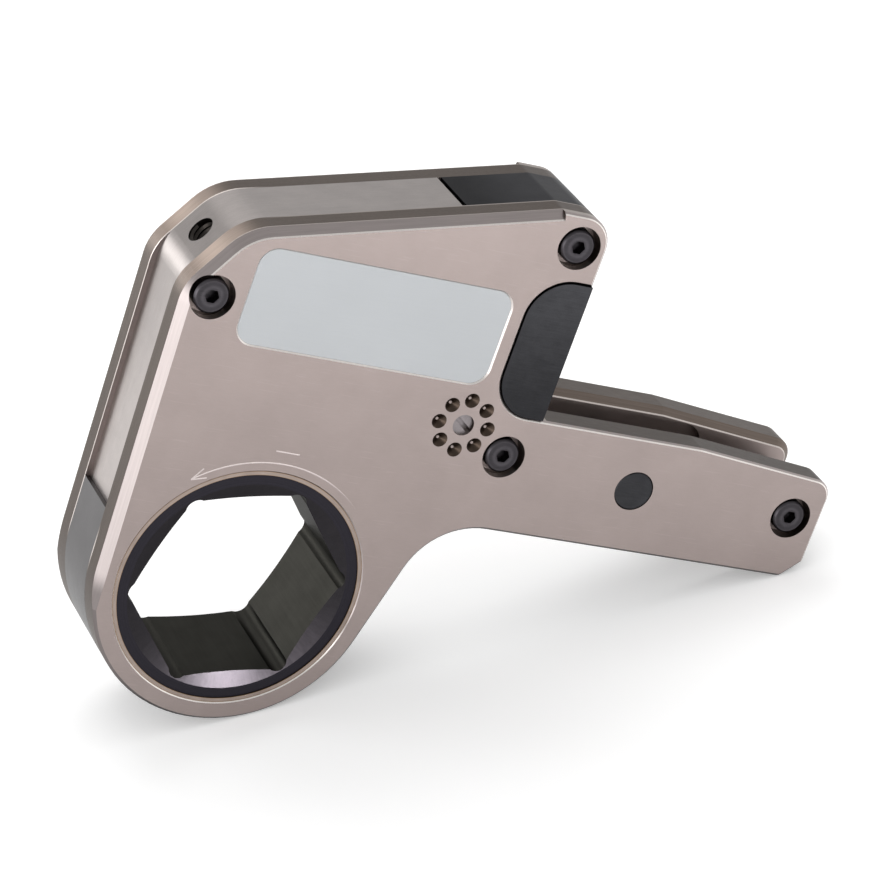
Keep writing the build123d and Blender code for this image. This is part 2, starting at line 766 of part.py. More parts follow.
with BuildPart() as drive_pawl:
    pawl_blank(lever_rest_angle, drive_pawl_half, drive_pawl_top)
    bore_along(lever_rest_angle, -drive_spring_spread, drive_spring_foot, carrier_pocket_top, spring_radius + spring_bore_gap)
    bore_along(lever_rest_angle, drive_spring_spread, drive_spring_foot, carrier_pocket_top, spring_radius + spring_bore_gap)

with BuildPart() as drive_pawl_springs:
    add_coil(lever_rest_angle, -drive_spring_spread, drive_spring_foot, drive_spring_head)
    add_coil(lever_rest_angle, drive_spring_spread, drive_spring_foot, drive_spring_head)

with BuildPart() as holding_pawl:
    pawl_blank(holding_rest_angle, holding_pawl_half, holding_pawl_top)
    bore_along(holding_rest_angle, 0, holding_spring_foot, holding_pocket_top, spring_radius + spring_bore_gap)

with BuildPart() as holding_pawl_spring:
    add_coil(holding_rest_angle, 0, holding_spring_foot, holding_spring_head)

with BuildPart() as ratchet_wheel:
    with BuildSketch(turned_plane(-tooth_half_width)):
        closed_face(*tooth_outline())
    extrude(amount=-2 * tooth_half_width)
    with BuildSketch(turned_plane(-shoulder_half_width)):
        Circle(shoulder_radius)
    extrude(amount=-2 * shoulder_half_width)
    with BuildSketch(turned_plane(-journal_half_width)):
        Circle(journal_radius)
    extrude(amount=-2 * journal_half_width)
    with BuildSketch(turned_plane(-journal_half_width)):
        RegularPolygon(apothem, 6, major_radius=False, rotation=hexagon_angle)
        with PolarLocations(corner_relief_centre, 6, start_angle=hexagon_angle):
            Circle(corner_relief_radius)
    extrude(amount=-2 * journal_half_width, mode=Mode.SUBTRACT)
    for side in (-1, 1):
        with BuildSketch(turned_plane(side * journal_half_width)):
            Circle(lead_in_radius)
        with BuildSketch(turned_plane(side * (journal_half_width - lead_in_depth))):
            Circle(apothem)
        loft(mode=Mode.SUBTRACT)

assembly = {
    "front_side_plate": front_side_plate,
    "back_side_plate": back_side_plate,
    "name_plate": name_plate,
    "front_plate_screws": front_plate_screws,
    "back_plate_screws": back_plate_screws,
    "front_ratchet_bushing": front_ratchet_bushing,
    "back_ratchet_bushing": back_ratchet_bushing,
    "shroud_spacer": shroud_spacer,
    "ratchet_guard": ratchet_guard,
    "reaction_block": reaction_block,
    "pawl_guide": pawl_guide,
    "tail_spacer": tail_spacer,
    "latch_pin": latch_pin,
    "slotted_stud": slotted_stud,
    "front_drive_plate": front_drive_plate,
    "back_drive_plate": back_drive_plate,
    "drive_pin": drive_pin,
    "pawl_carrier": pawl_carrier,
    "carrier_dowels": carrier_dowels,
    "drive_pawl": drive_pawl,
    "drive_pawl_springs": drive_pawl_springs,
    "holding_pawl": holding_pawl,
    "holding_pawl_spring": holding_pawl_spring,
    "ratchet_wheel": ratchet_wheel,
}
for name, builder in assembly.items():
    builder.part.label = name
    export_step(builder.part, f"parts/{name}.step")
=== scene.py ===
import json
from math import cos, pi, radians, sin
from types import SimpleNamespace

import bmesh
import bpy
from mathutils import Matrix, Vector

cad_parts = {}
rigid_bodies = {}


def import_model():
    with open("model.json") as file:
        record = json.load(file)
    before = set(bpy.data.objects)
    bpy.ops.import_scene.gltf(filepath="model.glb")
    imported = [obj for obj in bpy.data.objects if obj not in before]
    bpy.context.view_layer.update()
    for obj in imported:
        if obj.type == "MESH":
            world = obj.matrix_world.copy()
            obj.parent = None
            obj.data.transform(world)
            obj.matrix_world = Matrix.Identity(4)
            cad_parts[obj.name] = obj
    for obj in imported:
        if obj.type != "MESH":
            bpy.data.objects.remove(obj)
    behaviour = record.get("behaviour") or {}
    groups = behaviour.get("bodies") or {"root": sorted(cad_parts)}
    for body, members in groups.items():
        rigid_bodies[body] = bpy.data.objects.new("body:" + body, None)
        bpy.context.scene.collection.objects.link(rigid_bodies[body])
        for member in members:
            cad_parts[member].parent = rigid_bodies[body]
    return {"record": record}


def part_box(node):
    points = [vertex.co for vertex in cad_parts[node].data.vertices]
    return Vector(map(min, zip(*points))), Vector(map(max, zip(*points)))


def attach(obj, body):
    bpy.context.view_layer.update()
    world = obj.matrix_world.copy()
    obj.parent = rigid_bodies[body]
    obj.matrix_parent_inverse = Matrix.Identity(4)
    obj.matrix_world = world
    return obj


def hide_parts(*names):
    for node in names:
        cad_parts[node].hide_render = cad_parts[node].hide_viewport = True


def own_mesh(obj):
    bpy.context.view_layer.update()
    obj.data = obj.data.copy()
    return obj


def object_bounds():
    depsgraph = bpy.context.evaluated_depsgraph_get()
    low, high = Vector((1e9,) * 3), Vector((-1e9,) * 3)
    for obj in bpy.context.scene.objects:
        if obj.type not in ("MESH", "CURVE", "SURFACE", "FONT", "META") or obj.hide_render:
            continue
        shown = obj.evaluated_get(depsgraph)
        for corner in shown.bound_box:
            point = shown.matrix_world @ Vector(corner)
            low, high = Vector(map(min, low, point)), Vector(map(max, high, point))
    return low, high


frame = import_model()
CAD_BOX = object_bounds()

bl_info = {
    "name": "Torque Wrench Cassette Finish",
    "version": (1, 0, 0),
    "blender": (4, 5, 0),
    "location": "3D View > Sidebar > Cassette",
    "description": "Dresses the hexagon ratchet cassette of a hydraulic torque wrench",
    "category": "Object",
}

MM = 0.001
HOUSING = "housing"
WHITE = (1, 1, 1)
JOINTS = {joint["name"]: joint for joint in frame["record"]["behaviour"]["joints"]}
MOUNTS = {mount["name"]: mount for mount in frame["record"]["mounts"]}
HANDLE_HOLE = MOUNTS["handle_hole"]

# The plates' own directions: along the tail, across it and through the thickness.
TAIL_AXIS = Vector(MOUNTS["rod_bore"]["axis"])
RISE_AXIS = Vector((-TAIL_AXIS.z, 0, TAIL_AXIS.x))
DEPTH_AXIS = Vector((0, 1, 0))

FRONT_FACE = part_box("front_side_plate")[0][1]
PAD_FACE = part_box("front_side_plate")[1][1]
SEAM_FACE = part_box("shroud_spacer")[0][1]
STUD_MIDDLE = (Vector(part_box("slotted_stud")[0]) + Vector(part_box("slotted_stud")[1])) / 2

SIDE_PLATES = ("front_side_plate", "back_side_plate")
BUSHINGS = ("front_ratchet_bushing", "back_ratchet_bushing")
SCREWS = ("front_plate_screws", "back_plate_screws")
LEVER_PARTS = ("front_drive_plate", "back_drive_plate", "drive_pin", "pawl_carrier", "carrier_dowels")
PAWL_PARTS = ("drive_pawl", "holding_pawl", "pawl_guide", "tail_spacer")


def plate_point(u, v, depth):
    """World point, in metres, from millimetres along the tail and across it, and a depth in metres."""
    return TAIL_AXIS * (u * MM) + RISE_AXIS * (v * MM) + DEPTH_AXIS * depth


def polar_point(radius, angle, depth):
    """World point from a radius in millimetres and an angle from the tail direction."""
    return plate_point(radius * cos(angle), radius * sin(angle), depth)


def on_plate(point):
    """Millimetres along the tail and across it, from a world point in metres."""
    return point.dot(TAIL_AXIS) / MM, point.dot(RISE_AXIS) / MM


def ends(values):
    """The lowest and the highest of some values."""
    return min(values), max(values)


class Signal:
    """A shader socket that takes part in arithmetic; each operation adds its Math node."""

    def __init__(self, recipe, socket):
        self.recipe = recipe
        self.socket = socket

    def math(self, operation, *terms):
        return self.recipe.node("ShaderNodeMath", {"operation": operation}, dict(enumerate(terms)))

    def __add__(self, other):
        return self.math("ADD", self, other)

    def __sub__(self, other):
        return self.math("SUBTRACT", self, other)

    def __mul__(self, other):
        return self.math("MULTIPLY", self, other)

    def __radd__(self, other):
        return self.math("ADD", other, self)

    def __rsub__(self, other):
        return self.math("SUBTRACT", other, self)

    def __rmul__(self, other):
        return self.math("MULTIPLY", other, self)

    def __gt__(self, other):
        return self.math("GREATER_THAN", self, other)

    def __lt__(self, other):
        return self.math("LESS_THAN", self, other)

    def __abs__(self):
        return self.math("ABSOLUTE", self)

    def __pow__(self, other):
        return self.math("POWER", self, other)

    def larger(self, other):
        return self.math("MAXIMUM", self, other)

    def smaller(self, other):
        return self.math("MINIMUM", self, other)

    def hypot(self, aside):
        """Length of an offset whose two parts stand at a right angle."""
        return (self * self + aside * aside) ** 0.5

    def vary(self, amount):
        """A noise, which lies about a half, as a change up and down by half an amount."""
        return (self - 0.5) * amount

    def near(self, level, distance):
        """1 at a level, falling smoothly to 0 at a distance from it."""
        return 1.0 - abs(self - level).step(0.0, distance)

    def step(self, low, high):
        """A smooth 0 to 1 step between two levels."""
        return self.recipe.node(
            "ShaderNodeMapRange",
            {"interpolation_type": "SMOOTHSTEP"},
            {"Value": self, "From Min": low, "From Max": high},
        )


class Recipe:
    """The node tree of a material or of the world."""

    def __init__(self, owner):
        owner.use_nodes = True
        self.owner = owner
        self.tree = owner.node_tree

    @property
    def shader(self):
        return self.tree.nodes["Principled BSDF"]

    def node(self, kind, settings=None, inputs=None, output=0):
        """Add a node: its settings first, then the values or links of its sockets."""
        made = self.tree.nodes.new(kind)
        for name, value in (settings or {}).items():
            setattr(made, name, value)
        for key, value in (inputs or {}).items():
            self.feed(made.inputs[key], value)
        return Signal(self, made.outputs[output])

    def feed(self, socket, value):
        """Link a signal to a socket, or set the socket's value."""
        if isinstance(value, Signal):
            self.tree.links.new(value.socket, socket)
        elif socket.type == "RGBA":
            socket.default_value = (*value[:3], 1.0)
        else:
            socket.default_value = value

    def place(self):
        """Object coordinates in millimetres, turned so that X runs along the tail."""
        metres = self.node("ShaderNodeTexCoord", output="Object")
        turn = TAIL_AXIS.angle(Vector((1, 0, 0)))
        return self.node(
            "ShaderNodeMapping",
            inputs={"Vector": metres, "Rotation": (0, -turn, 0), "Scale": (1 / MM, 1 / MM, 1 / MM)},
        )

    def split(self, vector):
        return [self.node("ShaderNodeSeparateXYZ", inputs={0: vector}, output=axis) for axis in range(3)]

    def join(self, across, up):
        """A vector in a plane, for a noise that runs in rings or rays."""
        return self.node("ShaderNodeCombineXYZ", inputs={0: across, 1: up})

    def polar(self, place):
        """Radius from the hexagon axis, in millimetres, angle round it and depth along it."""
        across, depth, up = self.split(place)
        return across.hypot(up), up.math("ARCTAN2", up, across), depth

    def noise(self, place, scale, detail=2.0, roughness=0.5, stretch=None):
        """A noise about a half; a small number in the stretch draws it out along that axis."""
        if stretch is not None:
            place = self.node("ShaderNodeVectorMath", {"operation": "MULTIPLY"}, {0: place, 1: stretch})
        return self.node(
            "ShaderNodeTexNoise",
            inputs={"Vector": place, "Scale": scale, "Detail": detail, "Roughness": roughness},
        )

    def blend(self, factor, low, high):
        """Mix two colours."""
        return self.node("ShaderNodeMix", {"data_type": "RGBA"}, {0: factor, 6: low, 7: high}, output=2)

    def tint(self, colour, gain):
        """Scale a colour by a number that varies over the surface."""
        return self.node("ShaderNodeVectorMath", {"operation": "SCALE"}, {0: colour, "Scale": gain})

    def normal(self):
        return self.split(self.node("ShaderNodeNewGeometry", output="Normal"))

    def bump(self, height, distance, strength):
        return self.node(
            "ShaderNodeBump",
            inputs={"Height": height, "Distance": distance, "Strength": strength},
        )

    def finish(self, colour, roughness, bump, metallic=1.0, rim=1.0):
        """Feed the Principled shader and return the material; rim is its tint at grazing angles."""
        self.feed(self.shader.inputs["Base Color"], colour)
        self.feed(self.shader.inputs["Roughness"], roughness)
        self.feed(self.shader.inputs["Metallic"], metallic)
        self.feed(self.shader.inputs["Specular Tint"], (rim, rim, rim))
        self.feed(self.shader.inputs["Normal"], bump)
        return self.owner


def surface(name):
    """The recipe of a new material."""
    return Recipe(bpy.data.materials.new(name))


def ground_steel(name, base, stretch):
    """Ground or drawn steel with a film of oil; the stretch gives the direction of its lines."""
    recipe = surface(name)
    place = recipe.place()
    grind = recipe.noise(place, scale=2.5, detail=3.0, roughness=0.6, stretch=stretch)
    cloud = recipe.noise(place, scale=0.2)
    oil = recipe.noise(place, scale=0.6, detail=3.0, roughness=0.6)
    gain = 0.74 + grind.vary(0.30) + cloud * 0.26 + oil.vary(0.18)
    roughness = 0.30 + grind.vary(0.16) + oil * 0.10
    bump = recipe.bump(grind, distance=0.02 * MM, strength=0.4)
    return recipe.finish(recipe.tint(base, gain), roughness, bump)


def wear(material, *node_names):
    """Put a material on every slot of some CAD nodes."""
    for node_name in node_names:
        piece = bpy.data.objects[node_name]
        piece.data.materials.clear()
        piece.data.materials.append(material)


def node_points(node_name):
    return [vertex.co for vertex in bpy.data.objects[node_name].data.vertices]


def skin(build, rings):
    """Join rings of vertices, each with its neighbour, and close both ends."""
    for low, high in zip(rings, rings[1:]):
        for corner in range(len(low)):
            after = (corner + 1) % len(low)
            build.faces.new((low[corner], low[after], high[after], high[corner]))
    build.faces.new(rings[0])
    build.faces.new(reversed(rings[-1]))


def new_piece(name, build, material, body, smooth=False):
    """Turn a finished bmesh into a piece that rides on a body."""
    bmesh.ops.recalc_face_normals(build, faces=build.faces)
    mesh = bpy.data.meshes.new(name)
    build.to_mesh(mesh)
    build.free()
    for face in mesh.polygons:
        face.use_smooth = smooth
    piece = bpy.data.objects.new(name, mesh)
    bpy.context.scene.collection.objects.link(piece)
    mesh.materials.append(material)
    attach(piece, body)
    return piece


def colour_property(name, description, default):
    return bpy.props.FloatVectorProperty(
        name=name, description=description, default=default, subtype="COLOR", size=3, min=0.0, max=1.0
    )


def length_property(name, description, default):
    return bpy.props.FloatProperty(
        name=name, description=description, default=default, unit="LENGTH", min=0.0
    )


def factor_property(name, description, default, largest=1.0):
    return bpy.props.FloatProperty(
        name=name, description=description, default=default, subtype="FACTOR", min=0.0, max=largest
    )


def angle_property(name, description, default):
    return bpy.props.FloatProperty(name=name, description=description, default=default, subtype="ANGLE")


def power_property(name, description, default):
    return bpy.props.FloatProperty(name=name, description=description, default=default, unit="POWER")


class CASSETTE_PG_plates(bpy.types.PropertyGroup):
    """Finish of the side plates and the name plate."""

    face_colour: colour_property("Face", "Satin nickel of the plate faces", (0.325, 0.273, 0.259))
    edge_colour: colour_property("Edge", "Darker nickel of the milled edges", (0.104, 0.084, 0.072))
    chamfer_colour: colour_property("Chamfer", "Bright nickel of the chamfers", (0.47, 0.415, 0.405))
    # Painted highlights: the bright lines on broken edges and along the chamfers' crests.
    highlight_line_colour: colour_property("Edge line", "Bright line where an edge is broken", (0.66, 0.60, 0.565))
    crest_highlight_colour: colour_property("Crest line", "Line between a chamfer and the face", (0.98, 0.92, 0.88))
    dimple_colour: colour_property("Dimples", "Darkened cones of the dimples", (0.075, 0.055, 0.043))
    face_roughness: factor_property("Face roughness", "Roughness of the plate faces", 0.42)
    label_colour: colour_property("Name plate", "Bare satin aluminium", (0.435, 0.45, 0.465))
    # Width of the painted highlight lines.
    line_width: length_property("Edge line width", "Width of the bright broken edges", 0.30 * MM)
    chamfer_depth: length_property("Chamfer depth", "Depth of the chamfer of the head", 2.1 * MM)
    head_end: length_property("Head end", "Where the head ends, along the tail", 62.0 * MM)
    dimple_reach: length_property("Dimple reach", "Radius of the field of dimples", 9.5 * MM)


class CASSETTE_PG_inner(bpy.types.PropertyGroup):
    """Finish of what lies between the plates."""

    spacer_colour: colour_property("Spacer", "Brushed nickel of the spacer", (0.31, 0.283, 0.272))
    guard_colour: colour_property("Guard", "Greyer steel of the ratchet guard", (0.082, 0.079, 0.080))
    stud_colour: colour_property("Stud", "Turned steel of the slotted stud", (0.27, 0.245, 0.25))
    black_colour: colour_property("Black steel", "Oxide of the block and the pin", (0.046, 0.046, 0.050))
    # A dark colour on the wall of the handle hole and on its thread.
    thread_colour: colour_property("Thread", "Oiled wall of the handle hole", (0.045, 0.040, 0.036))
    screw_colour: colour_property("Screws", "Black oxide of the cap screws", (0.053, 0.049, 0.054))
    ground_colour: colour_property("Ground steel", "Steel of the lever and pawls", (0.42, 0.41, 0.40))
    spring_wire: length_property("Spring wire", "Diameter of the spring wire", 0.55 * MM)


class CASSETTE_PG_ratchet(bpy.types.PropertyGroup):
    """Finish of the ratchet wheel and its bushings."""

    ratchet_colour: colour_property("Ratchet", "Phosphate of the hexagon and teeth", (0.036, 0.035, 0.031))
    end_colour: colour_property("Ratchet ends", "Blued end faces of the ratchet", (0.027, 0.025, 0.031))
    lead_in_colour: colour_property("Lead-in", "Polished lead-in of the hexagon", (0.040, 0.035, 0.040))
    # A painted highlight brightens the lowest part of the lead-in: its strength, the angle where it is
    # brightest and the angle over which it fades.
    lead_in_highlight: factor_property("Lead-in polish", "How much brighter its lowest part is", 9.0, 10.0)
    highlight_turn: angle_property("Polish place", "Angle of the brightest wear", radians(-68.0))
    highlight_reach: angle_property("Polish reach", "Angle over which the wear fades out", radians(75.0))
    bronze_colour: colour_property("Bronze", "Turned bronze of the bushings", (0.335, 0.272, 0.238))
    rim_colour: colour_property("Bronze rims", "Golden rims of the bushings", (0.27, 0.165, 0.085))
    bushing_inner: length_property("Bushing inner", "Inner radius of the bushings", 29.348 * MM)
    bushing_outer: length_property("Bushing outer", "Outer radius of the bushings", 30.398 * MM)
    rim_width: length_property("Rim width", "Width of the golden rims", 0.22 * MM)


class CASSETTE_PG_marks(bpy.types.PropertyGroup):
    """Sizes of the direction mark and of the handle thread."""

    arrow_radius: length_property("Arrow radius", "Radius of the direction arrow", 32.7 * MM)
    arrow_width: length_property("Line width", "Width of the engraved lines", 0.34 * MM)
    arrow_height: length_property("Line height", "Height of the burr of the lines", 0.03 * MM)
    arrow_head: length_property("Head length", "Length of the arrow head", 3.6 * MM)
    tick_radius: length_property("Tick radius", "Distance of the tick from the axis", 35.8 * MM)
    tick_length: length_property("Tick length", "Length of the tick", 6.0 * MM)
    arrow_start: angle_property("Arrow start", "Angle where the arrow starts", radians(48.3))
    arrow_end: angle_property("Arrow end", "Angle where the arrow points to", radians(129.2))
    tick_turn: angle_property("Tick place", "Angle of the tick", radians(89.4))
    thread_pitch: length_property("Thread pitch", "Pitch of the handle thread", 1.25 * MM)
    thread_depth: length_property("Thread depth", "Height of the thread's ridge", 0.5 * MM)
    thread_start: length_property("Thread start", "Distance of the thread from the mouth", 0.9 * MM)


class CASSETTE_PG_stage(bpy.types.PropertyGroup):
    """Floor, lights and camera."""

    floor_colour: colour_property("Floor", "Pale studio floor", (0.93, 0.93, 0.93))
    floor_lift: factor_property("Floor lift", "Light added to the floor as it is seen", 0.24)
    floor_size: length_property("Floor size", "Width of the floor", 6.0)
    room_light: factor_property("Room light", "Level of the even light from the room", 0.80)
    ceiling_shade: factor_property("Ceiling", "How much darker metal sees the ceiling", 0.5)
    key_power: power_property("Key", "Key light from the left", 4.0)
    fill_power: power_property("Fill", "Light from above", 4.5)
    corner_power: power_property("Corner", "Light behind the left corner", 2.5)
    front_power: power_property("Front", "Small low light in front", 2.4)
    lens: bpy.props.FloatProperty(
        name="Lens", description="Focal length", default=155.15, subtype="DISTANCE_CAMERA"
    )


class CASSETTE_OT_side_plates(bpy.types.Operator):
    """Give the side plates their satin faces, dark edges and bright chamfers, with painted highlights and
    shade
    """

    bl_idname = "cassette.side_plates"
    bl_label = "Side Plates"

    # How far a normal leans towards the depth where faces and chamfers begin.
    face_lean = (0.90, 0.98)
    chamfer_lean = (0.45, 0.60)
    # The painted highlight lines fade where a normal looks left or down, and painted shade starts where it
    # looks down.
    lit_x = (-0.60, -0.45)
    lit_z = (-0.5, -0.2)
    downward = (0.2, 0.6)
    # Places where the painted highlights and painted shade change, in millimetres along the tail and
    # across it.
    left_end = (-24.0, -14.0)
    back_seam_end = (-5.0, 1.0)
    low_chamfer_end = (-7.0, -1.0)
    label_margin = 1.0
    # Middle of the painted glint and of the painted highlight at the bend, and how far each fades, in
    # millimetres.
    glint_height = (1.7, 7.0)
    bend_place = (-31.5, 79.0)
    bend_reach = 12.5
    # Widths of the painted highlight lines at the seam and crest, as shares of the width of an edge line.
    seam_share = 1.4
    crest_share = 0.8
    # Strengths of the painted highlight lines.
    front_seam_strength = 0.35
    crest_strength = 0.5
    label_strength = 0.5
    # How much brighter or darker some edges and chamfers are.
    bend_highlight_gain = 4.4
    pad_gain = 0.9
    tail_loss = 0.28
    low_chamfer_loss = 0.6
    edge_grime = 0.4
    chamfer_grime = 0.8
    # How much painted light brightens a face for each millimetre of rise, and where a scratch shows.
    rise_light_gain = 0.0009
    scratch_gain = 0.05
    scratch_start = (0.66, 0.72)

    def execute(self, context):
        sizes = context.scene.cassette_plates
        recipe = surface("satin_nickel_plate")
        place = recipe.place()
        zones = self.zones(recipe, place, sizes)
        cloud = recipe.noise(place, scale=0.035, detail=3.0)
        grain = recipe.noise(place, scale=1.6, detail=3.0, roughness=0.6, stretch=(0.25, 1.0, 2.6))
        fine = recipe.noise(place, scale=4.5, roughness=0.6)
        lines = recipe.noise(place, scale=1.4, roughness=0.6, stretch=(0.05, 3.5, 0.05))
        mottle = recipe.noise(place, scale=0.11, detail=3.0, roughness=0.6)
        scratch = recipe.noise(place, scale=1.3, detail=1.0, roughness=0.4, stretch=(0.10, 1.0, 1.9))
        face_gain = 0.86 + cloud * 0.16 + grain.vary(0.12) + fine.vary(0.08) + mottle.vary(0.14)
        # Painted light: a face grows brighter with its rise.
        face_gain = face_gain + zones.rise * self.rise_light_gain
        face_gain = face_gain + scratch.step(*self.scratch_start) * self.scratch_gain
        # Painted shade: edges and chamfers that look down are darker.
        edge_gain = (0.80 + cloud * 0.24 + lines.vary(0.55)) * (1.0 - zones.grime * self.edge_grime)
        chamfer_gain = (0.92 + lines.vary(0.30)) * (1.0 - zones.grime * self.chamfer_grime)
        # Painted shade: chamfers low on the plate are darker.
        chamfer_gain = chamfer_gain * (1.0 - zones.low_chamfer * self.low_chamfer_loss)
        # Painted highlights: bright lines on the edges and the chamfers.
        line = recipe.tint(tuple(sizes.highlight_line_colour), 0.75 + fine * 0.5)
        crest = recipe.tint(tuple(sizes.crest_highlight_colour), 0.85 + fine * 0.3)
        dimple = recipe.tint(tuple(sizes.dimple_colour), 0.7 + fine * 0.6)
        edge = recipe.tint(tuple(sizes.edge_colour), edge_gain * self.edge_light(zones))
        edge = recipe.blend(self.edge_highlight_lines(zones, sizes), edge, line)
        chamfer = recipe.tint(tuple(sizes.chamfer_colour), chamfer_gain)
        chamfer = recipe.blend(self.chamfer_highlight_lines(zones, sizes), chamfer, crest)
        chamfer = recipe.blend(zones.dimple, chamfer, dimple)
        face = recipe.tint(tuple(sizes.face_colour), face_gain)
        colour = recipe.blend(zones.face, recipe.blend(zones.chamfer, edge, chamfer), face)
        roughness = sizes.face_roughness + grain.vary(0.16) - zones.chamfer * 0.10 + fine.vary(0.08)
        height = grain * 0.35 * zones.face + fine * 0.25 + lines * 0.6 * (1.0 - zones.face)
        bump = recipe.bump(height, distance=0.02 * MM, strength=0.35)
        wear(recipe.finish(colour, roughness, bump, rim=0.85), *SIDE_PLATES)
        return {"FINISHED"}

    def zones(self, recipe, place, sizes):
        """Masks of the plate's zones, and where a point of it lies in millimetres."""
        along, depth, rise = recipe.split(place)
        normal_x, normal_y, normal_z = recipe.normal()
        lean = abs(normal_y)
        from_middle = abs(depth)
        face = lean.step(*self.face_lean)
        bevel = lean.step(*self.chamfer_lean) * (1.0 - face)
        pad = bevel * (from_middle < abs(SEAM_FACE) / MM)
        chamfer = bevel - pad
        back = depth > 0.0
        stud_along, stud_rise = on_plate(STUD_MIDDLE)
        from_stud = (along - stud_along).hypot(rise - stud_rise)
        return SimpleNamespace(
            along=along,
            rise=rise,
            from_middle=from_middle,
            face=face,
            chamfer=chamfer,
            pad=pad,
            edge=(1.0 - face) * (1.0 - chamfer),
            back=back,
            front=1.0 - back,
            left=1.0 - along.step(*self.left_end),
            head=along < sizes.head_end / MM,
            tail=along > sizes.head_end / MM,
            lit=normal_x.step(*self.lit_x) * normal_z.step(*self.lit_z),
            # Painted shade where a normal looks down.
            grime=(0.0 - normal_z).step(*self.downward) * (1.0 - face),
            # Painted shade on the chamfers low on the plate.
            low_chamfer=chamfer * (1.0 - rise.step(*self.low_chamfer_end)),
            dimple=chamfer * (from_stud < sizes.dimple_reach / MM),
        )

    def edge_light(self, zones):
        """Gain of the edges: a painted highlight round the corner of the head, darker on the front of the
        tail.
        """
        bend_along, bend_rise = self.bend_place
        off_bend = (zones.along - bend_along).hypot(zones.rise - bend_rise)
        bend_highlight = off_bend.near(0.0, self.bend_reach) * zones.edge
        brighter = bend_highlight * self.bend_highlight_gain + zones.pad * self.pad_gain
        return 1.0 + brighter - zones.tail * zones.front * self.tail_loss

    def edge_highlight_lines(self, zones, sizes):
        """Painted highlight lines on the edges: beside the spacer, beside the pads and under the chamfer.
        """
        width = sizes.line_width / MM
        seam = abs(SEAM_FACE) / MM
        beside_seam = (zones.from_middle > seam) * (zones.from_middle < seam + width * self.seam_share)
        back_seam = zones.back * zones.left * zones.rise.step(*self.back_seam_end)
        front_seam = zones.front * (1.0 - zones.left) * zones.head * self.front_seam_strength
        glint = zones.front * zones.left * zones.rise.near(*self.glint_height)
        beside_pad = zones.pad * zones.back * (zones.from_middle < abs(PAD_FACE) / MM + width)
        at_seam = zones.edge * (beside_seam * (back_seam + front_seam + glint) + beside_pad)
        crest = (abs(FRONT_FACE) - sizes.chamfer_depth) / MM
        above_crest = zones.from_middle > crest - width * self.crest_share
        return at_seam.larger(zones.edge * zones.lit * above_crest * zones.head * self.crest_strength)

    def chamfer_highlight_lines(self, zones, sizes):
        """Painted highlight lines on the chamfers: along the face and round the name plate's recess."""
        at_face = zones.from_middle > (abs(FRONT_FACE) - sizes.line_width) / MM
        beside_label = zones.chamfer
        places = [on_plate(point) for point in node_points("name_plate")]
        for coordinate, levels in zip((zones.along, zones.rise), zip(*places)):
            low, high = ends(levels)
            beside_label = beside_label * (coordinate > low - self.label_margin)
            beside_label = beside_label * (coordinate < high + self.label_margin)
        return (zones.chamfer * zones.lit * at_face).larger(beside_label * self.label_strength)


class CASSETTE_OT_name_plate(bpy.types.Operator):
    """Give the bare name plate its satin aluminium"""

    bl_idname = "cassette.name_plate"
    bl_label = "Name Plate"

    def execute(self, context):
        sizes = context.scene.cassette_plates
        recipe = surface("bare_satin_label")
        place = recipe.place()
        cloud = recipe.noise(place, scale=0.05)
        streak = recipe.noise(place, scale=2.4, detail=3.0, roughness=0.6, stretch=(0.06, 1.0, 2.4))
        speck = recipe.noise(place, scale=6.0, detail=1.0)
        colour = recipe.tint(tuple(sizes.label_colour), 0.94 + cloud * 0.08 + streak.vary(0.07))
        roughness = 0.34 + streak.vary(0.14) + speck.vary(0.06)
        bump = recipe.bump(streak * 0.6 + speck * 0.3, distance=0.01 * MM, strength=0.3)
        wear(recipe.finish(colour, roughness, bump, metallic=0.55), "name_plate")
        return {"FINISHED"}


class CASSETTE_OT_spacers(bpy.types.Operator):
    """Give the shroud spacer and the ratchet guard their brushed nickel"""

    bl_idname = "cassette.spacers"
    bl_label = "Spacer and Guard"

    # Width of the darkened edge round the handle hole, in millimetres.
    hole_edge = 0.08
    # Height over which the painted light on the low part of the left side fades out, in millimetres, and
    # its gain.
    low_end = (20.0, 70.0)
    low_light_gain = 0.45

    def execute(self, context):
        sizes = context.scene.cassette_inner
        wear(self.brushed("brushed_nickel_spacer", tuple(sizes.spacer_colour), sizes), "shroud_spacer")
        wear(self.brushed("brushed_steel_guard", tuple(sizes.guard_colour), sizes), "ratchet_guard")
        return {"FINISHED"}

    def brushed(self, name, base, sizes):
        recipe = surface(name)
        place = recipe.place()
        along, depth, rise = recipe.split(place)
        brush = recipe.noise(place, scale=1.6, detail=4.0, roughness=0.65, stretch=(0.09, 2.2, 0.09))
        cloud = recipe.noise(place, scale=0.16, detail=3.0, roughness=0.6)
        speck = recipe.noise(place, scale=3.0, roughness=0.6)
        gain = 0.80 + brush.vary(0.40) + cloud * 0.26 + speck.vary(0.20)
        # Painted light: the low part of the left side is brighter.
        lit_low_side = (1.0 - rise.step(*self.low_end)) * (along < 0.0)
        gain = gain * (1.0 + lit_low_side * self.low_light_gain)
        is_hole = self.from_hole(along, depth, rise) < HANDLE_HOLE["dims"]["r_mm"] + self.hole_edge
        darkened = recipe.tint(tuple(sizes.thread_colour), gain)
        colour = recipe.blend(is_hole, recipe.tint(base, gain), darkened)
        roughness = 0.36 + brush.vary(0.20) + speck.vary(0.12)
        bump = recipe.bump(brush * 0.7 + speck * 0.3, distance=0.03 * MM, strength=0.4)
        return recipe.finish(colour, roughness, bump, rim=0.9)

    def from_hole(self, along, depth, rise):
        """Distance from the axis of the handle hole, in millimetres."""
        hole_along, hole_rise = on_plate(Vector(HANDLE_HOLE["pos_m"]))
        aside = Vector(HANDLE_HOLE["axis"]).cross(DEPTH_AXIS)
        off_along = (along - hole_along) * aside.dot(TAIL_AXIS)
        off_rise = (rise - hole_rise) * aside.dot(RISE_AXIS)
        return (off_along + off_rise).hypot(depth)


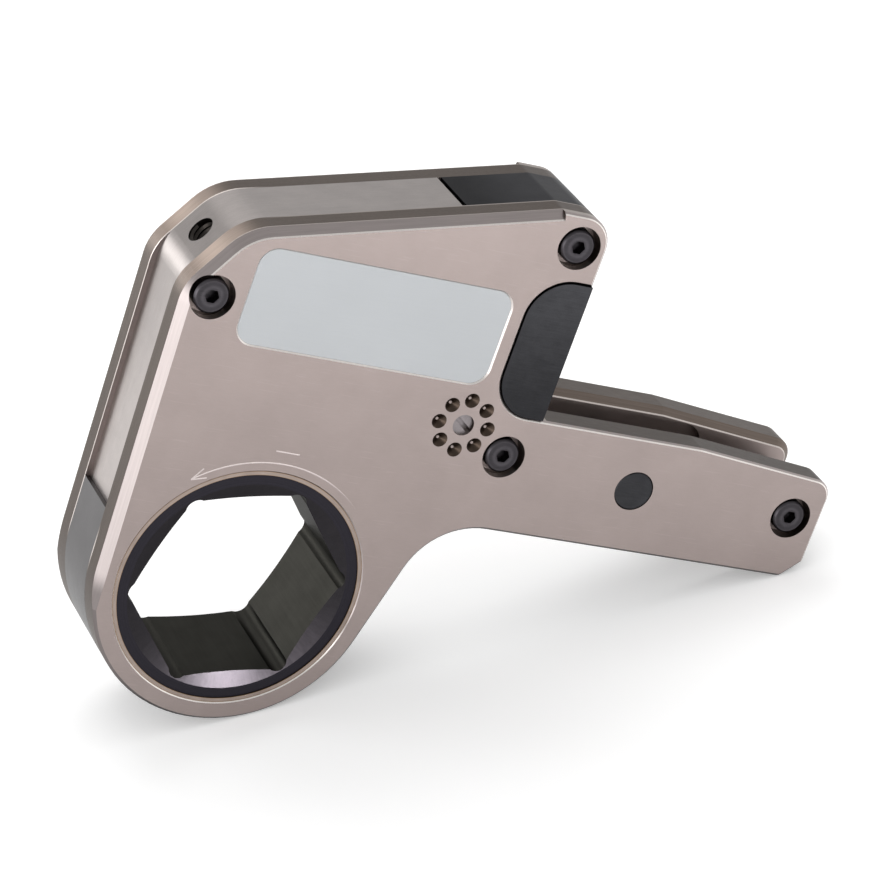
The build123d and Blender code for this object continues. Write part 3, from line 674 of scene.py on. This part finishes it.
class CASSETTE_OT_black_fittings(bpy.types.Operator):
    """Give the reaction block, the latch pin and the screws their black oxide"""

    bl_idname = "cassette.black_fittings"
    bl_label = "Black Fittings"

    # Radius and half width of each ring (painted highlights on the screws, a dark rim on the pin), and the
    # spread of one screw's vertices, in millimetres.
    socket_highlight = (2.25, 0.75)
    head_highlight = (3.85, 0.50)
    pin_ring = (5.05, 0.55)
    screw_spread = 10.0
    # Where the block's painted shade fades and it gets brighter, across the tail and along it, in
    # millimetres.
    block_rise = (52.0, 90.0)
    block_along = (27.0, 46.0)
    # Normals of the bevels that get a painted highlight, by how far they lean towards the depth.
    bevel_start = (0.4, 0.6)
    bevel_end = (0.85, 0.95)

    def execute(self, context):
        sizes = context.scene.cassette_inner
        black, screw = tuple(sizes.black_colour), tuple(sizes.screw_colour)
        block_oxide = self.black_oxide("black_oxide_block", black, level=0.34, shading=self.block_shade)
        pin_oxide = self.black_oxide("black_oxide_pin", black, level=0.40, shading=self.pin_rim)
        screw_oxide = self.black_oxide("black_oxide_screw", screw, level=0.36, shading=self.screw_highlight_rings)
        wear(block_oxide, "reaction_block")
        wear(pin_oxide, "latch_pin")
        wear(screw_oxide, *SCREWS)
        return {"FINISHED"}

    def axes(self, node_name):
        """Where the pins or screws of a node stand, along and across the tail in millimetres."""
        pins = []
        for point in node_points(node_name):
            place = Vector(on_plate(point))
            near = [pin for pin in pins if (pin[0] - place).length < self.screw_spread]
            if near:
                near[0].append(place)
            else:
                pins.append([place])
        return [[sum(ends(coordinates)) / 2 for coordinates in zip(*pin)] for pin in pins]

    def from_axis(self, recipe, place, node_name):
        """Distance from the nearest axis of a node's pins or screws, in millimetres."""
        along, _, rise = recipe.split(place)
        nearest = None
        for axis_along, axis_rise in self.axes(node_name):
            distance = (along - axis_along).hypot(rise - axis_rise)
            nearest = distance if nearest is None else nearest.smaller(distance)
        return nearest

    def block_shade(self, recipe, place):
        """Painted shade: the block is darker low down and at the spacer's end."""
        along, _, rise = recipe.split(place)
        return (0.6 + rise.step(*self.block_rise) * 0.5) * (0.45 + along.step(*self.block_along) * 0.55)

    def pin_rim(self, recipe, place):
        """A dark rim round the pin."""
        return 0.85 - self.from_axis(recipe, place, "latch_pin").near(*self.pin_ring) * 0.6

    def screw_highlight_rings(self, recipe, place):
        """Painted highlights: bright rings round the socket and at the edge of the head."""
        from_axis = self.from_axis(recipe, place, SCREWS[0])
        return 0.85 + from_axis.near(*self.socket_highlight) * 0.45 + from_axis.near(*self.head_highlight) * 0.4

    def black_oxide(self, name, base, level, shading):
        """Black oxide: the level is its roughness, and the shading brightens or darkens places of it, with
        painted shade on the block and painted highlights on the screws.
        """
        recipe = surface(name)
        place = recipe.place()
        cloud = recipe.noise(place, scale=0.22, detail=3.0, roughness=0.6)
        mill = recipe.noise(place, scale=2.2, detail=3.0, roughness=0.6, stretch=(0.12, 1.6, 1.6))
        speck = recipe.noise(place, scale=5.0, roughness=0.7)
        lean = abs(recipe.normal()[1])
        highlit_bevel = lean.step(*self.bevel_start) * (1.0 - lean.step(*self.bevel_end))
        # Painted highlight on the bevels.
        gain = 0.75 + cloud * 0.45 + mill.vary(0.40) + speck.vary(0.35) + highlit_bevel * 0.5
        colour = recipe.tint(base, gain * shading(recipe, place))
        roughness = level + mill.vary(0.18) + speck.vary(0.12)
        bump = recipe.bump(mill * 0.5 + speck * 0.4, distance=0.02 * MM, strength=0.4)
        return recipe.finish(colour, roughness, bump, rim=0.6)


class CASSETTE_OT_ratchet(bpy.types.Operator):
    """Give the ratchet wheel its dark phosphate and bright cuts, and the bushings their bronze"""

    bl_idname = "cassette.ratchet"
    bl_label = "Ratchet and Bushings"

    # How far a normal leans towards the axis where the ends and the lead-ins begin.
    end_lean = (0.92, 0.97)
    cone_lean = (0.5, 0.7)
    # How close the turning marks lie, and the rays of the lead-in, which drift with the radius.
    ring_rate = 3.0
    ray_rate = 22.0
    ray_drift = 0.25

    def execute(self, context):
        sizes = context.scene.cassette_ratchet
        wear(self.phosphate(sizes), "ratchet_wheel")
        wear(self.turned_bronze(sizes), *BUSHINGS)
        return {"FINISHED"}

    def phosphate(self, sizes):
        recipe = surface("dark_phosphate_ratchet")
        place = recipe.place()
        radius, turn, depth = recipe.polar(place)
        lean = abs(recipe.normal()[1])
        is_end = lean.step(*self.end_lean)
        is_cone = lean.step(*self.cone_lean) * (1.0 - is_end)
        cloud = recipe.noise(place, scale=0.14, detail=3.0, roughness=0.6)
        broach = recipe.noise(place, scale=1.5, detail=3.0, roughness=0.6, stretch=(1.0, 0.05, 1.0))
        speck = recipe.noise(place, scale=4.0, roughness=0.6)
        rings = recipe.join(radius * self.ring_rate, depth * self.ring_rate)
        turned = recipe.noise(rings, scale=1.0, roughness=0.6)
        rays = recipe.join(turn * self.ray_rate, radius * self.ray_drift)
        streak = recipe.noise(rays, scale=1.0, detail=3.0, roughness=0.65)
        dark_gain = 0.72 + cloud * 0.42 + broach.vary(0.4) + speck.vary(0.3)
        end_gain = 0.85 + turned * 0.3 + speck.vary(0.3)
        # Painted highlight on the lowest part of the lead-in.
        painted_highlight = turn.near(sizes.highlight_turn, sizes.highlight_reach) * sizes.lead_in_highlight
        lead_in_gain = (0.5 + streak + cloud.vary(0.5)) * (1.0 + painted_highlight)
        dark = recipe.tint(tuple(sizes.ratchet_colour), dark_gain)
        end = recipe.tint(tuple(sizes.end_colour), end_gain)
        lead_in = recipe.tint(tuple(sizes.lead_in_colour), lead_in_gain)
        colour = recipe.blend(is_end, recipe.blend(is_cone, dark, lead_in), end)
        roughness = 0.46 + speck.vary(0.15) - is_end * 0.08 - is_cone * 0.22 + streak.vary(0.2) * is_cone
        height = broach * (1.0 - is_end) * 0.6 + turned * (is_end + is_cone) * 0.5 + speck * 0.3
        bump = recipe.bump(height, distance=0.02 * MM, strength=0.4)
        return recipe.finish(colour, roughness, bump, rim=0.5)

    def turned_bronze(self, sizes):
        recipe = surface("turned_bronze")
        place = recipe.place()
        radius, _, depth = recipe.polar(place)
        rings = recipe.join(radius * self.ring_rate, depth * self.ring_rate)
        turned = recipe.noise(rings, scale=1.4, roughness=0.6)
        cloud = recipe.noise(place, scale=0.3)
        speck = recipe.noise(place, scale=5.0)
        rim_width = sizes.rim_width / MM
        inner_rim = radius.near(sizes.bushing_inner / MM, rim_width)
        outer_rim = radius.near(sizes.bushing_outer / MM, rim_width)
        rim = inner_rim.larger(outer_rim)
        base = recipe.blend(rim, tuple(sizes.bronze_colour), tuple(sizes.rim_colour))
        colour = recipe.tint(base, 0.72 + cloud * 0.4 + turned.vary(0.3) + speck.vary(0.2))
        bump = recipe.bump(turned, distance=0.02 * MM, strength=0.4)
        return recipe.finish(colour, 0.38 + turned.vary(0.2), bump)


class CASSETTE_OT_mechanism(bpy.types.Operator):
    """Give the lever, the pawls, the guide and the stud their steel"""

    bl_idname = "cassette.mechanism"
    bl_label = "Lever and Pawls"

    # The ground lines run along the tail, the stud's round its axis.
    ground_stretch = (0.1, 1.5, 1.5)
    turned_stretch = (1.2, 0.2, 1.2)

    def execute(self, context):
        sizes = context.scene.cassette_inner
        ground = ground_steel("ground_steel", tuple(sizes.ground_colour), self.ground_stretch)
        wear(ground, *LEVER_PARTS, *PAWL_PARTS)
        wear(ground_steel("turned_stud", tuple(sizes.stud_colour), self.turned_stretch), "slotted_stud")
        return {"FINISHED"}


class CASSETTE_OT_pawl_springs(bpy.types.Operator):
    """Wind the pawls' springs from round wire"""

    bl_idname = "cassette.pawl_springs"
    bl_label = "Pawl Springs"

    active_turns = 5
    steps = 24
    sides = 8
    wire_stretch = (2.0, 2.0, 2.0)

    def execute(self, context):
        sizes = context.scene.cassette_inner
        wire = ground_steel("drawn_spring_wire", tuple(sizes.spacer_colour), self.wire_stretch)
        radius = sizes.spring_wire / 2
        self.wind("drive_pawl_coils", "drive_pawl_springs", JOINTS["drive_pawl_lift"], radius, wire)
        self.wind("holding_pawl_coil", "holding_pawl_spring", JOINTS["holding_pawl_lift"], radius, wire)
        return {"FINISHED"}

    def wind(self, name, node_name, joint, wire_radius, material):
        """Put round-wire coils in the places of a node's springs."""
        axis = Vector(joint["axis"])
        aside = axis.cross(DEPTH_AXIS)
        points = node_points(node_name)
        foot, head = ends([point.dot(axis) for point in points])
        left, right = ends([point.dot(aside) for point in points])
        outer = max(abs(point.dot(DEPTH_AXIS)) for point in points)
        middle = (right + left) / 2
        spread = (right - left) / 2 - outer
        places = (middle,) if spread < outer else (middle - spread, middle + spread)
        build = bmesh.new()
        for place in places:
            self.add_coil(build, axis, aside, place, (foot, head), outer - wire_radius, wire_radius)
        piece = new_piece(name, build, material, joint["parent"], smooth=True)
        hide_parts(node_name)
        keep = 1 - max(joint["range_m"]) / (head - foot)
        tuple(axis * head)
        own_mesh(piece)

    def add_coil(self, build, axis, aside, place, span, coil_radius, wire_radius):
        """One coil with a closed turn at each end."""
        closed = 2 * wire_radius
        pitch = (span[1] - span[0] - 3 * closed) / self.active_turns
        rings = []
        for step in range((self.active_turns + 2) * self.steps + 1):
            turns = step / self.steps
            rise = closed * min(turns, 1) + pitch * min(max(turns - 1, 0), self.active_turns)
            rise += closed * max(turns - 1 - self.active_turns, 0)
            ray = aside * cos(2 * pi * turns) + DEPTH_AXIS * sin(2 * pi * turns)
            middle = aside * place + axis * (span[0] + wire_radius + rise) + ray * coil_radius
            ring = []
            for side in range(self.sides):
                turn = 2 * pi * side / self.sides
                ring.append(build.verts.new(middle + (ray * cos(turn) + axis * sin(turn)) * wire_radius))
            rings.append(ring)
        skin(build, rings)


class CASSETTE_OT_direction_mark(bpy.types.Operator):
    """Engrave the direction arrow and the tick above the bore"""

    bl_idname = "cassette.direction_mark"
    bl_label = "Direction Mark"

    steps = 48
    # Half the width of the arrow's head as a share of its length, and the angle of its fading start.
    head_spread = 0.36
    fade = 0.5

    def execute(self, context):
        sizes = context.scene.cassette_marks
        plates = context.scene.cassette_plates
        bright, plain = tuple(plates.chamfer_colour), tuple(plates.face_colour)
        material = self.bright_burr(bright, plain, sizes.arrow_start)
        radius = sizes.arrow_radius / MM
        sweep = sizes.arrow_end - sizes.arrow_start
        arc = [
            polar_point(radius, sizes.arrow_start + sweep * step / self.steps, FRONT_FACE)
            for step in range(self.steps + 1)
        ]
        barb_angle = sizes.arrow_end - sizes.arrow_head / sizes.arrow_radius
        barb_offset = self.head_spread * sizes.arrow_head / MM
        barbs = [
            [arc[-1], polar_point(radius + side * barb_offset, barb_angle, FRONT_FACE)] for side in (-1, 1)
        ]
        half_tick = sizes.tick_length / (2 * sizes.tick_radius)
        tick = [
            polar_point(sizes.tick_radius / MM, sizes.tick_turn + side * half_tick, FRONT_FACE)
            for side in (-1, 1)
        ]
        self.groove("direction_arrow", [arc, *barbs], sizes, material)
        self.groove("direction_tick", [tick], sizes, material)
        return {"FINISHED"}

    def groove(self, name, lines, sizes, material):
        """Build burred lines: a low ridge of triangular section along each path."""
        build = bmesh.new()
        lift = Vector((0, -sizes.arrow_height, 0))
        for line in lines:
            rings = []
            for index, point in enumerate(line):
                ahead = line[min(index + 1, len(line) - 1)]
                behind = line[max(index - 1, 0)]
                aside = (ahead - behind).cross(DEPTH_AXIS).normalized() * (sizes.arrow_width / 2)
                rings.append([build.verts.new(point + offset) for offset in (aside, lift, -aside)])
            skin(build, rings)
        new_piece(name, build, material, HOUSING)

    def bright_burr(self, base, plain, start):
        """Bright metal that fades into the plate where the arrow starts."""
        recipe = surface("bright_engraving")
        place = recipe.place()
        chatter = recipe.noise(place, scale=1.6, detail=3.0, roughness=0.6)
        _, turn, _ = recipe.polar(place)
        strong = turn.step(start, start + self.fade)
        colour = recipe.blend(strong, plain, recipe.tint(base, 0.9 + chatter * 0.5))
        bump = recipe.bump(chatter, distance=0.02 * MM, strength=0.4)
        return recipe.finish(colour, 0.42 + chatter * 0.2, bump, metallic=0.7)


class CASSETTE_OT_handle_thread(bpy.types.Operator):
    """Cut the thread inside the handle hole of the diagonal face"""

    bl_idname = "cassette.handle_thread"
    bl_label = "Handle Thread"

    steps = 28
    # How far the thread's foot stands off the wall, and half its foot as a share of the pitch.
    seat = 0.02 * MM
    half_foot = 0.44

    def execute(self, context):
        sizes = context.scene.cassette_marks
        outward = Vector(HANDLE_HOLE["axis"])
        across = outward.cross(DEPTH_AXIS)
        wall = HANDLE_HOLE["dims"]["r_mm"] * MM - self.seat
        length = HANDLE_HOLE["dims"]["length_mm"] * MM
        mouth = Vector(HANDLE_HOLE["pos_m"]) + outward * (length / 2)
        half = outward * (sizes.thread_pitch * self.half_foot)
        turns = (length - 2 * sizes.thread_start) / sizes.thread_pitch
        build = bmesh.new()
        rings = []
        for step in range(int(turns * self.steps) + 1):
            turn = 2 * pi * step / self.steps
            middle = mouth - outward * (sizes.thread_start + sizes.thread_pitch * step / self.steps)
            ray = DEPTH_AXIS * cos(turn) + across * sin(turn)
            foot = middle + ray * wall
            crest = middle + ray * (wall - sizes.thread_depth)
            rings.append([build.verts.new(corner) for corner in (foot + half, crest, foot - half)])
        skin(build, rings)
        darkened = self.dark_thread(tuple(context.scene.cassette_inner.thread_colour))
        new_piece("handle_thread", build, darkened, HOUSING)
        return {"FINISHED"}

    def dark_thread(self, base):
        recipe = surface("dark_thread")
        film = recipe.noise(recipe.place(), scale=0.9, detail=3.0, roughness=0.6)
        colour = recipe.tint(base, 0.7 + film * 0.8)
        bump = recipe.bump(film, distance=0.02 * MM, strength=0.4)
        return recipe.finish(colour, 0.30 + film * 0.2, bump)


class CASSETTE_OT_stage(bpy.types.Operator):
    """Lay the pale floor, hang the lights and set the camera"""

    bl_idname = "cassette.stage"
    bl_label = "Stage"

    # Place of each lamp and its two widths, in metres; each lamp looks at the hexagon's middle.
    key_lamp = ((-1.25, -0.65, 0.33), (1.0, 0.7))
    corner_lamp = ((-0.64, 0.99, 0.25), (0.5, 0.4))
    front_lamp = ((0.36, -0.93, 0.035), (0.22, 0.11))
    top_lamp = ((0.10, 0.75, 1.10), (0.9, 0.9))
    # Rise of a look at the room where the ceiling's shade starts and where it is full.
    ceiling_rise = (0.15, 0.75)
    floor_roughness = 0.9
    nearest_view = 0.01
    camera_place = (-0.19707, -0.75332, 0.46842)
    camera_right = (0.93267, -0.35506, -0.06370)
    camera_up = (0.22834, 0.44441, 0.86623)
    camera_back = (-0.27926, -0.82246, 0.49556)

    def execute(self, context):
        sizes = context.scene.cassette_stage
        context.scene.view_settings.view_transform = "Standard"
        self.lay_floor(context.scene, sizes)
        self.light_room(context.scene, sizes)
        self.hang_lamp("key_light", *self.key_lamp, sizes.key_power)
        self.hang_lamp("corner_light", *self.corner_lamp, sizes.corner_power)
        self.hang_lamp("front_light", *self.front_lamp, sizes.front_power)
        self.hang_lamp("top_light", *self.top_lamp, sizes.fill_power)
        self.set_camera(context.scene, sizes)
        return {"FINISHED"}

    def lay_floor(self, scene, sizes):
        half = sizes.floor_size / 2
        level = CAD_BOX[0][2]
        mesh = bpy.data.meshes.new("studio_floor")
        corners = [(x * half, y * half, level) for x, y in ((-1, -1), (1, -1), (1, 1), (-1, 1))]
        mesh.from_pydata(corners, [], [(0, 1, 2, 3)])
        floor = bpy.data.objects.new("studio_floor", mesh)
        scene.collection.objects.link(floor)
        recipe = surface("studio_floor")
        recipe.feed(recipe.shader.inputs["Base Color"], tuple(sizes.floor_colour))
        recipe.feed(recipe.shader.inputs["Roughness"], self.floor_roughness)
        recipe.feed(recipe.shader.inputs["Specular IOR Level"], 0.0)
        lift = self.seen_ray(recipe) * sizes.floor_lift
        glow = recipe.node("ShaderNodeEmission", inputs={"Color": WHITE, "Strength": lift})
        lit = Signal(recipe, recipe.shader.outputs[0])
        both = recipe.node("ShaderNodeAddShader", inputs={0: lit, 1: glow})
        recipe.feed(recipe.tree.nodes["Material Output"].inputs["Surface"], both)
        mesh.materials.append(recipe.owner)

    def seen_ray(self, recipe):
        """1 for rays of the camera, of reflections and of glass, 0 for light on the object."""
        camera, glossy, transmitted = (
            recipe.node("ShaderNodeLightPath", output=ray)
            for ray in ("Is Camera Ray", "Is Glossy Ray", "Is Transmission Ray")
        )
        return camera.larger(glossy).larger(transmitted)

    def light_room(self, scene, sizes):
        scene.world = bpy.data.worlds.new("studio_room")
        recipe = Recipe(scene.world)
        direction = recipe.split(recipe.node("ShaderNodeTexCoord", output="Generated"))
        seen = self.seen_ray(recipe)
        wall = 1.0 - direction[2].step(*self.ceiling_rise) * sizes.ceiling_shade
        strength = (1.0 - seen) * sizes.room_light + seen * wall
        light = recipe.node("ShaderNodeBackground", inputs={"Color": WHITE, "Strength": strength})
        recipe.feed(recipe.tree.nodes["World Output"].inputs["Surface"], light)

    def hang_lamp(self, name, place, widths, power):
        lamp = bpy.data.lights.new(name, "AREA")
        lamp.shape = "RECTANGLE"
        lamp.size, lamp.size_y = widths
        lamp.energy = power
        holder = bpy.data.objects.new(name, lamp)
        holder.location = place
        holder.rotation_euler = (-Vector(place)).to_track_quat("-Z", "Y").to_euler()
        bpy.context.scene.collection.objects.link(holder)

    def set_camera(self, scene, sizes):
        lens = bpy.data.cameras.new("photo_camera")
        lens.lens = sizes.lens
        lens.clip_start = self.nearest_view
        camera = bpy.data.objects.new("photo_camera", lens)
        turned = Matrix((self.camera_right, self.camera_up, self.camera_back)).transposed()
        camera.matrix_world = Matrix.Translation(self.camera_place) @ turned.to_4x4()
        scene.collection.objects.link(camera)
        scene.camera = camera


class CASSETTE_PT_panel(bpy.types.Panel):
    """Lists the finishing steps and their sizes"""

    bl_idname = "CASSETTE_PT_panel"
    bl_label = "Cassette"
    bl_space_type = "VIEW_3D"
    bl_region_type = "UI"
    bl_category = "Cassette"

    def draw(self, context):
        layout = self.layout
        for operator in OPERATORS:
            layout.operator(operator.bl_idname)
        for name, group in GROUPS.items():
            box = layout.box()
            box.label(text=group.__doc__)
            settings = getattr(context.scene, name)
            for key in group.__annotations__:
                box.prop(settings, key)


GROUPS = {
    "cassette_plates": CASSETTE_PG_plates,
    "cassette_inner": CASSETTE_PG_inner,
    "cassette_ratchet": CASSETTE_PG_ratchet,
    "cassette_marks": CASSETTE_PG_marks,
    "cassette_stage": CASSETTE_PG_stage,
}
OPERATORS = (
    CASSETTE_OT_side_plates,
    CASSETTE_OT_name_plate,
    CASSETTE_OT_spacers,
    CASSETTE_OT_black_fittings,
    CASSETTE_OT_ratchet,
    CASSETTE_OT_mechanism,
    CASSETTE_OT_pawl_springs,
    CASSETTE_OT_direction_mark,
    CASSETTE_OT_handle_thread,
    CASSETTE_OT_stage,
)


def register():
    for name, group in GROUPS.items():
        bpy.utils.register_class(group)
        setattr(bpy.types.Scene, name, bpy.props.PointerProperty(type=group))
    for operator in OPERATORS:
        bpy.utils.register_class(operator)
    bpy.utils.register_class(CASSETTE_PT_panel)


def unregister():
    bpy.utils.unregister_class(CASSETTE_PT_panel)
    for operator in reversed(OPERATORS):
        bpy.utils.unregister_class(operator)
    for name, group in GROUPS.items():
        delattr(bpy.types.Scene, name)
        bpy.utils.unregister_class(group)


def main():
    """Run every step in order."""
    register()
    bpy.ops.cassette.side_plates()
    bpy.ops.cassette.name_plate()
    bpy.ops.cassette.spacers()
    bpy.ops.cassette.black_fittings()
    bpy.ops.cassette.ratchet()
    bpy.ops.cassette.mechanism()
    bpy.ops.cassette.pawl_springs()
    bpy.ops.cassette.direction_mark()
    bpy.ops.cassette.handle_thread()
    bpy.ops.cassette.stage()


if __name__ == "__main__":
    main()
